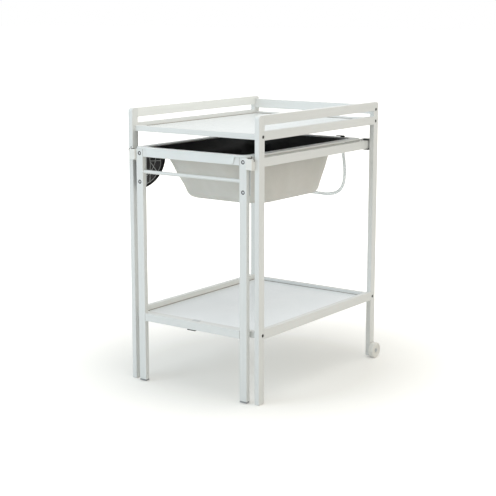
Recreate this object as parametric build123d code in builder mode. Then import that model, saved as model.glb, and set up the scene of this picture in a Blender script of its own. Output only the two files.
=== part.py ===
"""Changing table with a bathtub on a carriage that slides out to the front."""
import os
from math import pi, radians, tan

from build123d import *

# Millimetres. X runs across the table, Y from the front to the rear, Z up.

# Overall sizes and clearances
table_height = 990
table_width = 570
table_depth = 772
overrun = 1
slide_gap = 0.3
fit_gap = 0.15
edge_ease = 1.2

# Posts and the side frames
post_thick = 19
post_deep = 31
corner_round = 11
guard_tall = 32.5
top_rail_tall = 30
top_rail_drop = 53
shelf_rail_tall = 33
shelf_rail_top = 262
rear_post_lift = 8
glide_tall = 2
glide_inset = 2.5

# Cross rails between the side frames
cross_thick = 19
front_setback = 13.5
rear_setback = 7.5
apron_tall = 20
rear_top_tall = 22
top_bolt_drop = 18
rear_guard_tall = 35
guard_bolt_drop = 27.5
shelf_cross_tall = 22
shelf_bolt_drop = 19

# Panels in grooves of the rails
panel_thick = 8
changing_panel_sink = 14
shelf_panel_sink = 20
tongue_drop = 2
panel_reveal = 1.5
groove_deep = 4
groove_play = 0.3

# Bolts of the frame
bolt_radius = 3
bolt_head_radius = 5.4
bolt_head_tall = 3.5
bolt_length = 52
bolt_socket_radius = 2.9
bolt_socket_deep = 2
counterbore_radius = 6.2
counterbore_deep = 5
barrel_radius = 4.5
barrel_long = 14
barrel_inset = 26

# Dowels
dowel_radius = 4
dowel_long = 30
dowel_rise = 8

# Rear wheels
wheel_radius = 30
wheel_width = 20
wheel_rounding = 3
wheel_dish_radius = 22
wheel_dish_deep = 1.5
axle_radius = 4
axle_hold = 15
shoulder_radius = 7
shoulder_thick = 1.2
hub_radius = 10
hub_recess = 4
axle_head_radius = 7
axle_head_tall = 3
running_gap = 0.06

# Carriage
leg_width = 30
leg_deep = 18
leg_inset = 40
leg_proud = 11
leg_drop = 72
leg_foot = 8
side_rail_thick = 18
side_rail_tall = 31
side_rail_drop = 5
side_rail_play = 4
side_rail_proud = 4
side_rail_rear_hold = 20
front_rail_tall = 28
stretcher_tall = 28.5
stretcher_rise = 13.5
rear_rail_thick = 18
rear_rail_inset = 11
rear_rail_tall = 34
rod_radius = 6.5
rod_drop = 81
rod_hold = 10
carriage_hold = 152
leg_dowel_hold = 10
rail_dowel_hold = 18
leg_dowel_pitch = 14

# Leg brackets and leg bolts
bracket_thick = 3
bracket_drop = 129
bracket_reach = 60
leg_bolt_head_radius = 5.9
leg_bolt_head_tall = 2.6
leg_bolt_socket_radius = 2.9
leg_recess_radius = 7.3
leg_recess_deep = 3
upper_bolt_drop = 16
lower_bolt_drop = 117.5
nut_corner_radius = 5.7
nut_tall = 5
bolt_past_nut = 1.5
screw_radius = 1.8
screw_head_radius = 3.4
screw_head_tall = 1.8
screw_long = 14
screw_cross_radius = 1.6
screw_cross_deep = 0.8
bracket_screw_near = 18
bracket_screw_pitch = 28

# Guides, caps, rests and stops of the sliding rails
guide_plate = 3.6
guide_foot = 7
guide_head_drop = 3
guide_inset = 1
ledge_reach = 20
guide_screw_near = 9
guide_screw_pitch = 13
plastic_ease = 0.6
cap_past_rail = 6
cap_inner_gap = 1
cap_proud = 8
cap_below = 4
cap_above = 2
cap_round = 6
cap_ease = 2
rest_lip = 4.5
rest_top_lap = 13
rest_low_lap = 2
rest_reach = 7
rest_web_thick = 5
rest_plate_setback = 8
rest_screw_pitch = 20
peg_radius = 3
peg_long = 14
peg_proud = 3
peg_inset = 5

# Catch at the middle of the stretcher
catch_width = 36
catch_thick = 1.6
catch_floor_thick = 3
catch_top_gap = 3
catch_pad_width = 20
catch_pad_tall = 12
keeper_width = 28
keeper_below = 7
keeper_thick = 2.5
keeper_tab_reach = 13
keeper_tab_thick = 1.6

# Rollers under the legs
roller_radius = 6
roller_width = 12
roller_rounding = 1
roller_pin_radius = 1.25
fork_width = 16
fork_deep = 12.4
fork_tall = 30
fork_flange = 5
fork_edge = 0.6
fork_play = 0.3
fork_pin_radius = 2
fork_pin_level = 30
fork_pin_inset = 1
fork_pin_long = 24

# Side pocket on the left rail
pocket_front_gap = 1
pocket_top_gap = 1
pocket_long = 134
pocket_tall = 106
pocket_thick = 8
pocket_wall = 1.6
pocket_hem = 5
pocket_tab_thick = 2.6
pocket_tab_start = 63
pocket_tab_long = 66
pocket_tab_tall = 22
stud_radius = 3.5
stud_shank = 1.6
stud_tall = 1.5
stud_long = 10
stud_pitch = 44

# Tub: rim and skirt
rim_side_lap = 6
rim_rear_gap = 12
rim_thick = 5
rim_corner = 30
rim_round = 1.8
skirt_thick = 3
skirt_side_gap = 20
skirt_tall = 27
skirt_corner = 24
tub_wall = 3
liner_wall = 2
liner_gap = 0.3

# Mouth of the tub, inside the edges of the rim
mouth_side_inset = 31
mouth_front_inset = 23
mouth_rear_inset = 24

# Tub body from the mouth down: depth under the rim, distance inside the mouth at the sides,
# in front and behind, and corner radius
mouth = (0, 0, 0, 0, 27)
shoulder = (43, 20, 43, 47, 100)
waist = (151, 32, 123, 102, 90)
heel = (174, 39, 134, 109, 84)
floor = (187, 54, 155, 125, 72)
tub_sections = (mouth, shoulder, waist, heel, floor)

# Drain and hose
drain_x = 70
drain_inset = 158
drain_neck_radius = 10
drain_bore_radius = 7
drain_flange_radius = 17
drain_flange_thick = 2
drain_body_radius = 12
drain_body_tall = 22
outlet_radius = 7
outlet_bore_radius = 4
outlet_drop = 14
drain_sump = 6
outlet_long = 25
hose_radius = 6
hose_first_run = 30
hose_last_run = 35
hose_bends = (
    (14, 90, -16),
    (34, 121, -23),
    (59, 147, -27),
    (86, 161, -20),
    (106, 166, 3),
    (114, 167, 42),
    (112, 167, 91),
)
collar_side_inset = 78
collar_inset = 15
collar_radius = 7.5
collar_flange_radius = 9
collar_flange_tall = 2
collar_drop = 13
plug_radius = 8
plug_tall = 1.5
plug_tab_long = 34
plug_tab_shift = -11
plug_tab_wide = 9
plug_tab_tall = 2.5
plug_round = 0.8

# Places along the table; the origin is under the middle of the whole piece
wheel_overhang = wheel_radius - post_deep / 2
cap_reach = leg_proud + cap_proud
front = cap_reach - (cap_reach + table_depth + wheel_overhang) / 2
rear = front + table_depth
half = table_width / 2
inner = half - post_thick
carriage_travel = table_depth - carriage_hold
front_joint = front + post_deep
rear_joint = rear - post_deep
front_cross = front + front_setback
rear_cross = rear - rear_setback - cross_thick

top_rail_top = table_height - top_rail_drop
changing_panel_top = top_rail_top - changing_panel_sink
top_bolt_level = top_rail_top - top_bolt_drop
guard_bolt_level = table_height - guard_bolt_drop
shelf_panel_top = shelf_rail_top - shelf_panel_sink
shelf_bolt_level = shelf_rail_top - shelf_bolt_drop

leg_centre = inner - leg_inset
leg_top = changing_panel_top - leg_drop
side_rail_top = leg_top - side_rail_drop
stretcher_top = shelf_bolt_level + stretcher_rise
rod_level = leg_top - rod_drop
bracket_low = leg_top - bracket_drop
upper_bolt_level = leg_top - upper_bolt_drop
lower_bolt_level = leg_top - lower_bolt_drop
leg_front = front - leg_proud
leg_back = leg_front + leg_deep
leg_middle = (leg_front + leg_back) / 2
leg_inner = leg_centre - leg_width / 2
leg_outer = leg_centre + leg_width / 2
rail_outer = inner - side_rail_play
rail_inner = rail_outer - side_rail_thick
rail_low = side_rail_top - side_rail_tall
rail_middle = side_rail_top - side_rail_tall / 2
rail_front = front - side_rail_proud
rail_rear = rear_joint + side_rail_rear_hold
rear_rail_back = rear_joint - rear_rail_inset
rear_rail_front = rear_rail_back - rear_rail_thick
rear_rail_middle = (rear_rail_front + rear_rail_back) / 2
cap_front = leg_front - cap_proud
plate_inner = inner - guide_plate
guide_low = rail_low - guide_foot
guide_high = side_rail_top - guide_head_drop
ledge_top = rail_low - slide_gap
cap_low = rail_low - cap_below
cap_high = side_rail_top + cap_above
rest_web = rail_rear + slide_gap
rest_back = rest_web + rest_web_thick
rest_plate_front = rear_joint + rest_plate_setback
rim_low = leg_top + slide_gap
rim_top = rim_low + rim_thick
rim_half = rail_inner + rim_side_lap
rim_front = leg_front - slide_gap - skirt_thick
rim_rear = rear_rail_back - rim_rear_gap
mouth_half = rim_half - mouth_side_inset
mouth_front = rim_front + mouth_front_inset
mouth_rear = rim_rear - mouth_rear_inset

sides = (("left", -1), ("right", 1))


def block(x_range, y_range, z_range, mode=Mode.ADD):
    """Block between two ends along each axis."""
    x_low, x_high = sorted(x_range)
    y_low, y_high = sorted(y_range)
    z_low, z_high = sorted(z_range)
    with BuildSketch(Plane.XY.offset(z_low)) as profile:
        with Locations(((x_low + x_high) / 2, (y_low + y_high) / 2)):
            Rectangle(x_high - x_low, y_high - y_low)
    extrude(profile.sketch, amount=z_high - z_low, mode=mode)


def round_x(y, z, x_range, radius, mode=Mode.ADD):
    """Round bar along X."""
    x_low, x_high = sorted(x_range)
    with BuildSketch(Plane.YZ.offset(x_low)) as profile:
        with Locations((y, z)):
            Circle(radius)
    extrude(profile.sketch, amount=x_high - x_low, mode=mode)


def round_y(x, z, y_range, radius, mode=Mode.ADD):
    """Round bar along Y."""
    y_low, y_high = sorted(y_range)
    with BuildSketch(Plane.XZ.offset(-y_high)) as profile:
        with Locations((x, z)):
            Circle(radius)
    extrude(profile.sketch, amount=y_high - y_low, mode=mode)


def round_z(x, y, z_range, radius, mode=Mode.ADD):
    """Round bar along Z."""
    z_low, z_high = sorted(z_range)
    with BuildSketch(Plane.XY.offset(z_low)) as profile:
        with Locations((x, y)):
            Circle(radius)
    extrude(profile.sketch, amount=z_high - z_low, mode=mode)


def socket(place, direction, radius, deep):
    """Hexagonal socket sunk into a bolt head."""
    with BuildSketch(Plane(origin=place, z_dir=direction)) as profile:
        RegularPolygon(radius, 6)
    extrude(profile.sketch, amount=deep, mode=Mode.SUBTRACT)


def flat_screw(place, direction, mode=Mode.ADD):
    """Countersunk screw from the face of a plate into the wood behind it."""
    low = (Align.CENTER, Align.CENTER, Align.MIN)
    with Locations(Plane(origin=place, z_dir=direction)):
        Cone(screw_head_radius, screw_radius, screw_head_tall, align=low, mode=mode)
        Cylinder(screw_radius, screw_long, align=low, mode=mode)
    if mode == Mode.ADD:
        socket(place, direction, screw_cross_radius, screw_cross_deep)


def write(piece, name):
    """Label a finished piece and store it."""
    piece.part.label = name
    export_step(piece.part, f"parts/{name}.step")


os.makedirs("parts", exist_ok=True)

# Places of the fasteners

front_bolt_y = front_cross + cross_thick / 2
rear_bolt_y = rear_cross + cross_thick / 2
front_bolts = ((front_bolt_y, top_bolt_level), (front_bolt_y, shelf_bolt_level))
rear_bolts = (
    (rear_bolt_y, guard_bolt_level),
    (rear_bolt_y, top_bolt_level),
    (rear_bolt_y, shelf_bolt_level),
)
bolt_seat = half - counterbore_deep
bolt_end = bolt_seat - bolt_length
barrel_x = inner - barrel_inset

side_dowel_x = half - post_thick / 2
side_dowel_levels = (
    table_height - guard_tall / 2 + dowel_rise,
    top_rail_top - top_rail_tall / 2 + dowel_rise,
    shelf_rail_top - shelf_rail_tall / 2 + dowel_rise,
)

guide_screws_at = [
    (front + guide_inset + guide_screw_near, rail_middle),
    (front + guide_inset + guide_screw_near + guide_screw_pitch, rail_middle),
]
rest_screws_at = [
    ((rest_plate_front + rest_back) / 2, rail_middle - rest_screw_pitch / 2),
    ((rest_plate_front + rest_back) / 2, rail_middle + rest_screw_pitch / 2),
]
leg_bolt_levels = (upper_bolt_level, lower_bolt_level)


def side_dowels(side, joint, end_play, mode):
    """Dowels across a joint between a post and its rails, or their blind holes."""
    reach = dowel_long / 2 + end_play
    for level in side_dowel_levels:
        round_y(side * side_dowel_x, level, (joint - reach, joint + reach), dowel_radius, mode)


# Posts

def post(side, at_front):
    """One post with its rounded top corner and every hole that it carries."""
    low = glide_tall if at_front else rear_post_lift
    near = front if at_front else rear_joint
    joint = front_joint if at_front else rear_joint
    outer_end = 0 if at_front else -1
    with BuildPart() as piece:
        block((side * inner, side * half), (near, near + post_deep), (low, table_height))
        top_edges = piece.edges().filter_by(Axis.X).group_by(Axis.Z)[-1].sort_by(Axis.Y)
        fillet(top_edges[outer_end], corner_round)
        faces = piece.faces().sort_by(Axis.X)
        fillet(faces[0].edges() + faces[-1].edges(), edge_ease)
        for y, z in front_bolts if at_front else rear_bolts:
            through = (side * (half + overrun), side * (inner - overrun))
            round_x(y, z, through, bolt_radius + fit_gap, Mode.SUBTRACT)
            round_x(y, z, (side * (half + overrun), side * bolt_seat), counterbore_radius, Mode.SUBTRACT)
        side_dowels(side, joint, slide_gap, Mode.SUBTRACT)
        for y, z in guide_screws_at if at_front else rest_screws_at:
            hole_end = plate_inner + screw_long + slide_gap
            round_x(y, z, (side * (inner - overrun), side * hole_end), screw_radius, Mode.SUBTRACT)
        if not at_front:
            hole_end = half - axle_hold - slide_gap
            hole = (side * (half + overrun), side * hole_end)
            round_x(rear - post_deep / 2, wheel_radius, hole, axle_radius, Mode.SUBTRACT)
    return piece


for side_name, side in sides:
    write(post(side, True), f"front_{side_name}_post")
    write(post(side, False), f"rear_{side_name}_post")

# Rails of the side frames, flush with the posts

def frame_rail(side, z_high, tall, panel_top=None):
    """Rail between two posts, with a groove where it holds a panel."""
    with BuildPart() as piece:
        block((side * inner, side * half), (front_joint, rear_joint), (z_high - tall, z_high))
        fillet(piece.edges().filter_by(Axis.Y), edge_ease)
        side_dowels(side, front_joint, slide_gap, Mode.SUBTRACT)
        side_dowels(side, rear_joint, slide_gap, Mode.SUBTRACT)
        if panel_top:
            block(
                (side * (inner - overrun), side * (inner + groove_deep)),
                (front_joint - overrun, rear_joint + overrun),
                (panel_top - panel_thick, panel_top - tongue_drop + groove_play),
                Mode.SUBTRACT,
            )
    return piece


for side_name, side in sides:
    write(frame_rail(side, table_height, guard_tall), f"{side_name}_guard_rail")
    write(frame_rail(side, top_rail_top, top_rail_tall, changing_panel_top), f"{side_name}_top_rail")
    write(frame_rail(side, shelf_rail_top, shelf_rail_tall, shelf_panel_top), f"{side_name}_shelf_rail")

# Cross rails, each held by one bolt and one cross nut at both ends

def cross_rail(y_low, level, tall, panel_top=None, panel_way=0):
    """Rail across the table with its bolt holes, cross nut holes and groove."""
    middle = y_low + cross_thick / 2
    with BuildPart() as piece:
        block((-inner, inner), (y_low, y_low + cross_thick), (level - tall / 2, level + tall / 2))
        fillet(piece.edges().filter_by(Axis.X), edge_ease)
        for _, side in sides:
            hole_end = bolt_end - slide_gap
            hole = (side * (inner + overrun), side * hole_end)
            round_x(middle, level, hole, bolt_radius + fit_gap, Mode.SUBTRACT)
            round_z(
                side * barrel_x,
                middle,
                (level - tall / 2 - overrun, level + barrel_long / 2 + slide_gap),
                barrel_radius,
                Mode.SUBTRACT,
            )
        if panel_top:
            face = y_low + cross_thick if panel_way > 0 else y_low
            block(
                (-inner - overrun, inner + overrun),
                (face + panel_way * overrun, face - panel_way * groove_deep),
                (panel_top - panel_thick, panel_top - tongue_drop + groove_play),
                Mode.SUBTRACT,
            )
    return piece


write(cross_rail(front_cross, top_bolt_level, apron_tall, changing_panel_top, 1), "front_apron")
write(cross_rail(front_cross, shelf_bolt_level, shelf_cross_tall, shelf_panel_top, 1), "front_shelf_rail")
write(cross_rail(rear_cross, top_bolt_level, rear_top_tall, changing_panel_top, -1), "rear_top_rail")
write(cross_rail(rear_cross, guard_bolt_level, rear_guard_tall), "rear_guard_rail")
write(cross_rail(rear_cross, shelf_bolt_level, shelf_cross_tall, shelf_panel_top, -1), "rear_shelf_rail")

# Panels, with lower tongues in the grooves

def panel(top):
    """Panel that shows between the rails, with tongues on four sides."""
    reach = groove_deep - groove_play
    face_half = inner - panel_reveal
    face_front = front_cross + cross_thick + panel_reveal
    face_rear = rear_cross - panel_reveal
    low = top - panel_thick
    tongue_top = top - tongue_drop
    with BuildPart() as piece:
        block((-face_half, face_half), (face_front, face_rear), (low, top))
        block(
            (-inner + groove_play, inner - groove_play),
            (front_cross + cross_thick - reach, rear_cross + reach),
            (low, tongue_top),
        )
        between_posts = (front_joint + groove_play, rear_joint - groove_play)
        block((-inner - reach, inner + reach), between_posts, (low, tongue_top))
    return piece


write(panel(changing_panel_top), "changing_panel")
write(panel(shelf_panel_top), "shelf_panel")

# Fasteners of the frame

with BuildPart() as frame_bolts:
    for _, side in sides:
        for y, z in front_bolts + rear_bolts:
            head_face = bolt_seat + bolt_head_tall
            round_x(y, z, (side * bolt_seat, side * head_face), bolt_head_radius)
            round_x(y, z, (side * head_face, side * bolt_end), bolt_radius)
            socket((side * head_face, y, z), (-side, 0, 0), bolt_socket_radius, bolt_socket_deep)
write(frame_bolts, "frame_bolts")

with BuildPart() as barrel_nuts:
    for _, side in sides:
        for y, z in front_bolts + rear_bolts:
            round_z(side * barrel_x, y, (z - barrel_long / 2, z + barrel_long / 2), barrel_radius)
            nut_reach = barrel_radius + overrun
            hole = (side * barrel_x - nut_reach, side * barrel_x + nut_reach)
            round_x(y, z, hole, bolt_radius, Mode.SUBTRACT)
write(barrel_nuts, "barrel_nuts")

with BuildPart() as frame_dowels:
    for _, side in sides:
        side_dowels(side, front_joint, 0, Mode.ADD)
        side_dowels(side, rear_joint, 0, Mode.ADD)
write(frame_dowels, "frame_dowels")

with BuildPart() as post_glides:
    for _, side in sides:
        block(
            (side * (inner + glide_inset), side * (half - glide_inset)),
            (front + glide_inset, front_joint - glide_inset),
            (0, glide_tall),
        )
write(post_glides, "post_glides")

# Guides on the front posts: a plate and a ledge that the sliding rail runs on

with BuildPart() as rail_guides:
    for _, side in sides:
        y_range = (front + guide_inset, front_joint - guide_inset)
        block((side * plate_inner, side * inner), y_range, (guide_low, guide_high))
        block((side * (inner - ledge_reach), side * inner), y_range, (guide_low, ledge_top))
    fillet(rail_guides.edges().filter_by(Axis.Y), plastic_ease)
    for _, side in sides:
        for y, z in guide_screws_at:
            flat_screw((side * plate_inner, y, z), (side, 0, 0), Mode.SUBTRACT)
write(rail_guides, "rail_guides")

with BuildPart() as guide_screws:
    for _, side in sides:
        for y, z in guide_screws_at:
            flat_screw((side * plate_inner, y, z), (side, 0, 0))
write(guide_screws, "guide_screws")

# Rests on the rear posts: each holds the end of a sliding rail from above, below and behind

rest_low = rail_low - slide_gap - rest_lip
rest_high = side_rail_top + slide_gap + rest_lip
with BuildPart() as rear_rests:
    for _, side in sides:
        top_range = (side * (rail_inner - rest_top_lap), side * inner)
        low_range = (side * (rail_inner - rest_low_lap), side * inner)
        block(low_range, (rest_web, rest_back), (rest_low, rest_high))
        block(top_range, (rear_joint - rest_reach, rest_back), (side_rail_top + slide_gap, rest_high))
        block(low_range, (rear_joint - rest_reach, rest_back), (rest_low, ledge_top))
        block((side * plate_inner, side * inner), (rest_plate_front, rest_back), (rest_low, rest_high))
    fillet(rear_rests.edges().filter_by(Axis.X), plastic_ease)
    for _, side in sides:
        for y, z in rest_screws_at:
            flat_screw((side * plate_inner, y, z), (side, 0, 0), Mode.SUBTRACT)
write(rear_rests, "rear_rests")

with BuildPart() as rest_screws:
    for _, side in sides:
        for y, z in rest_screws_at:
            flat_screw((side * plate_inner, y, z), (side, 0, 0))
write(rest_screws, "rest_screws")

# Keeper plate for the catch, hooked over the front shelf rail

shelf_cross_top = shelf_bolt_level + shelf_cross_tall / 2
with BuildPart() as catch_keeper:
    x_range = (-keeper_width / 2, keeper_width / 2)
    keeper_high = shelf_cross_top + keeper_tab_thick
    block(x_range, (front_cross - keeper_thick, front_cross), (shelf_bolt_level - keeper_below, keeper_high))
    block(x_range, (front_cross - keeper_thick, front_cross + keeper_tab_reach), (shelf_cross_top, keeper_high))
write(catch_keeper, "catch_keeper")

# Rear wheels, each on a shoulder bolt outside its post

wheel_y = rear - post_deep / 2
wheel_inner = half + shoulder_thick + slide_gap
wheel_outer = wheel_inner + wheel_width
hub_floor = wheel_outer - hub_recess

for side_name, side in sides:
    with BuildPart() as wheel:
        round_x(wheel_y, wheel_radius, (side * wheel_inner, side * wheel_outer), wheel_radius)
        fillet(wheel.edges(), wheel_rounding)
        past_face = side * (wheel_outer + overrun)
        round_x(wheel_y, wheel_radius, (side * (wheel_outer - wheel_dish_deep), past_face),
                wheel_dish_radius, Mode.SUBTRACT)
        round_x(wheel_y, wheel_radius, (side * hub_floor, past_face), hub_radius, Mode.SUBTRACT)
        round_x(wheel_y, wheel_radius, (side * (wheel_inner - overrun), side * (wheel_outer + overrun)),
                axle_radius + running_gap, Mode.SUBTRACT)
    write(wheel, f"{side_name}_wheel")

with BuildPart() as wheel_axles:
    for _, side in sides:
        head_low = hub_floor + slide_gap
        head_face = head_low + axle_head_tall
        round_x(wheel_y, wheel_radius, (side * (half - axle_hold), side * head_low), axle_radius)
        round_x(wheel_y, wheel_radius, (side * half, side * (half + shoulder_thick)), shoulder_radius)
        round_x(wheel_y, wheel_radius, (side * head_low, side * head_face), axle_head_radius)
        socket((side * head_face, wheel_y, wheel_radius), (-side, 0, 0), bolt_socket_radius, bolt_socket_deep)
write(wheel_axles, "wheel_axles")

# Carriage: places of the dowels between its pieces

front_rail_middle = leg_top - front_rail_tall / 2
stretcher_middle = stretcher_top - stretcher_tall / 2


def leg_dowels(side, end_play, mode):
    """Dowels from a leg into the front rail and the stretcher, or their blind holes."""
    x_range = (side * (leg_inner + leg_dowel_hold + end_play), side * (leg_inner - rail_dowel_hold - end_play))
    for level in (front_rail_middle, stretcher_middle):
        for way in (-1, 1):
            round_x(leg_middle, level + way * leg_dowel_pitch / 2, x_range, dowel_radius, mode)


def rear_dowels(side, end_play, mode):
    """Dowels from a side rail into the rear cross rail, or their blind holes."""
    held = rail_inner + leg_dowel_hold + end_play
    x_range = (side * held, side * (rail_inner - rail_dowel_hold - end_play))
    for way in (-1, 1):
        round_x(rear_rail_middle, rail_middle + way * leg_dowel_pitch / 2, x_range, dowel_radius, mode)


# Legs

fork_back_gap = (leg_deep - fork_deep) / 2 - fork_play
for side_name, side in sides:
    with BuildPart() as leg:
        block((side * leg_inner, side * leg_outer), (leg_front, leg_back), (leg_foot, leg_top))
        fillet(leg.edges(), edge_ease)
        leg_dowels(side, slide_gap, Mode.SUBTRACT)
        round_x(leg_middle, rod_level, (side * (leg_inner - overrun), side * (leg_inner + rod_hold)),
                rod_radius, Mode.SUBTRACT)
        for level in leg_bolt_levels:
            round_y(side * leg_centre, level, (leg_front - overrun, leg_back + overrun),
                    bolt_radius + fit_gap, Mode.SUBTRACT)
            round_y(side * leg_centre, level, (leg_front - overrun, leg_front + leg_recess_deep),
                    leg_recess_radius, Mode.SUBTRACT)
        block(
            (side * (leg_centre - fork_width / 2), side * (leg_centre + fork_width / 2)),
            (leg_front + fork_back_gap, leg_back - fork_back_gap),
            (leg_foot - overrun, leg_foot + fork_tall + fork_play),
            Mode.SUBTRACT,
        )
        pin_end = leg_inner + fork_pin_inset + fork_pin_long
        pin_hole = (side * (leg_inner - overrun), side * pin_end)
        round_x(leg_middle, fork_pin_level, pin_hole, fork_pin_radius, Mode.SUBTRACT)
    write(leg, f"{side_name}_leg")

# Rails of the carriage

peg_y = front_joint - guide_inset + slide_gap + peg_radius + carriage_travel
peg_x = rail_inner + peg_inset
bracket_screws_at = [leg_back + bracket_screw_near, leg_back + bracket_screw_near + bracket_screw_pitch]
pocket_front = leg_back + bracket_thick + pocket_front_gap
pocket_top = rail_low - pocket_top_gap
tab_front = pocket_front + pocket_tab_start
stud_level = (pocket_top + rail_low + pocket_tab_tall) / 2
studs_at = [
    tab_front + (pocket_tab_long - stud_pitch) / 2,
    tab_front + (pocket_tab_long + stud_pitch) / 2,
]

for side_name, side in sides:
    with BuildPart() as side_rail:
        block((side * rail_inner, side * rail_outer), (rail_front, rail_rear), (rail_low, side_rail_top))
        fillet(side_rail.edges().filter_by(Axis.Y), edge_ease)
        rear_dowels(side, slide_gap, Mode.SUBTRACT)
        round_z(side * peg_x, peg_y, (rail_low - overrun, rail_low + peg_long - peg_proud + slide_gap),
                peg_radius, Mode.SUBTRACT)
        screw_end = leg_outer + screw_long + slide_gap
        for y in bracket_screws_at:
            hole = (side * (rail_inner - overrun), side * screw_end)
            round_x(y, rail_middle, hole, screw_radius, Mode.SUBTRACT)
        if side < 0:
            for y in studs_at:
                stud_end = rail_inner - pocket_tab_thick + stud_long + slide_gap
                hole = (side * (rail_inner - overrun), side * stud_end)
                round_x(y, stud_level, hole, stud_shank, Mode.SUBTRACT)
    write(side_rail, f"{side_name}_side_rail")

with BuildPart() as front_rail:
    block((-leg_inner, leg_inner), (leg_front, leg_back), (leg_top - front_rail_tall, leg_top))
    fillet(front_rail.edges().filter_by(Axis.X), edge_ease)
    for _, side in sides:
        leg_dowels(side, slide_gap, Mode.SUBTRACT)
write(front_rail, "front_rail")

with BuildPart() as leg_stretcher:
    block((-leg_inner, leg_inner), (leg_front, leg_back), (stretcher_top - stretcher_tall, stretcher_top))
    fillet(leg_stretcher.edges().filter_by(Axis.X), edge_ease)
    for _, side in sides:
        leg_dowels(side, slide_gap, Mode.SUBTRACT)
write(leg_stretcher, "leg_stretcher")

with BuildPart() as rear_cross_rail:
    block((-rail_inner, rail_inner), (rear_rail_front, rear_rail_back), (leg_top - rear_rail_tall, leg_top))
    fillet(rear_cross_rail.edges().filter_by(Axis.X), edge_ease)
    for _, side in sides:
        rear_dowels(side, slide_gap, Mode.SUBTRACT)
write(rear_cross_rail, "rear_cross_rail")

with BuildPart() as towel_rod:
    rod_end = leg_inner + rod_hold - slide_gap
    round_x(leg_middle, rod_level, (-rod_end, rod_end), rod_radius)
write(towel_rod, "towel_rod")

with BuildPart() as carriage_dowels:
    for _, side in sides:
        leg_dowels(side, 0, Mode.ADD)
        rear_dowels(side, 0, Mode.ADD)
write(carriage_dowels, "carriage_dowels")

with BuildPart() as stop_pegs:
    for _, side in sides:
        round_z(side * peg_x, peg_y, (rail_low - peg_proud, rail_low + peg_long - peg_proud), peg_radius)
write(stop_pegs, "stop_pegs")

# Steel angles behind the legs, with their bolts, nuts and screws

bracket_back = leg_back + bracket_thick
with BuildPart() as leg_brackets:
    for _, side in sides:
        block((side * leg_inner, side * rail_inner), (leg_back, bracket_back), (bracket_low, side_rail_top))
        block((side * leg_outer, side * rail_inner), (leg_back, leg_back + bracket_reach + bracket_thick),
              (rail_low + edge_ease, side_rail_top))
        for level in leg_bolt_levels:
            round_y(side * leg_centre, level, (leg_back - overrun, bracket_back + overrun),
                    bolt_radius + fit_gap, Mode.SUBTRACT)
        for y in bracket_screws_at:
            flat_screw((side * leg_outer, y, rail_middle), (side, 0, 0), Mode.SUBTRACT)
write(leg_brackets, "leg_brackets")

with BuildPart() as leg_bolts:
    for _, side in sides:
        for level in leg_bolt_levels:
            seat = leg_front + leg_recess_deep
            head_face = seat - leg_bolt_head_tall
            round_y(side * leg_centre, level, (head_face, seat), leg_bolt_head_radius)
            round_y(side * leg_centre, level, (head_face, bracket_back + nut_tall + bolt_past_nut), bolt_radius)
            socket((side * leg_centre, head_face, level), (0, 1, 0), leg_bolt_socket_radius, bolt_socket_deep)
write(leg_bolts, "leg_bolts")

with BuildPart() as leg_nuts:
    for _, side in sides:
        for level in leg_bolt_levels:
            with BuildSketch(Plane(origin=(side * leg_centre, bracket_back, level), z_dir=(0, 1, 0))):
                RegularPolygon(nut_corner_radius, 6)
                Circle(bolt_radius, mode=Mode.SUBTRACT)
    extrude(amount=nut_tall)
write(leg_nuts, "leg_nuts")

with BuildPart() as bracket_screws:
    for _, side in sides:
        for y in bracket_screws_at:
            flat_screw((side * leg_outer, y, rail_middle), (side, 0, 0))
write(bracket_screws, "bracket_screws")

# Plastic caps on the front ends of the sliding rails

with BuildPart() as rail_end_caps:
    for _, side in sides:
        block(
            (side * (leg_outer + cap_inner_gap), side * (rail_outer + cap_past_rail)),
            (cap_front, front - slide_gap),
            (cap_low, cap_high),
        )
    for _, side in sides:
        lower = rail_end_caps.edges().filter_by(Axis.Y).group_by(Axis.Z)[0]
        fillet(lower.sort_by(lambda edge: abs(edge.center().X))[0:1], cap_round)
    front_faces = rail_end_caps.faces().filter_by(Axis.Y).group_by(Axis.Y)[0]
    fillet(front_faces.edges(), cap_ease)
    for _, side in sides:
        block(
            (side * rail_inner, side * rail_outer),
            (rail_front, front),
            (rail_low, side_rail_top),
            Mode.SUBTRACT,
        )
write(rail_end_caps, "rail_end_caps")

# Catch around the middle of the stretcher, with a pad that meets the keeper

stretcher_low = stretcher_top - stretcher_tall
keeper_front = front_cross - keeper_thick
with BuildPart() as catch_clip:
    x_range = (-catch_width / 2, catch_width / 2)
    catch_back = leg_back + catch_thick
    catch_top = stretcher_top - catch_top_gap
    block(x_range, (leg_back, catch_back), (stretcher_low - catch_floor_thick, catch_top))
    block(x_range, (leg_front, catch_back), (stretcher_low - catch_floor_thick, stretcher_low))
    block(
        (-catch_pad_width / 2, catch_pad_width / 2),
        (leg_back, keeper_front - slide_gap),
        (shelf_bolt_level - catch_pad_tall / 2, shelf_bolt_level + catch_pad_tall / 2),
    )
write(catch_clip, "catch_clip")

# Rollers in forks under the legs

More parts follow.
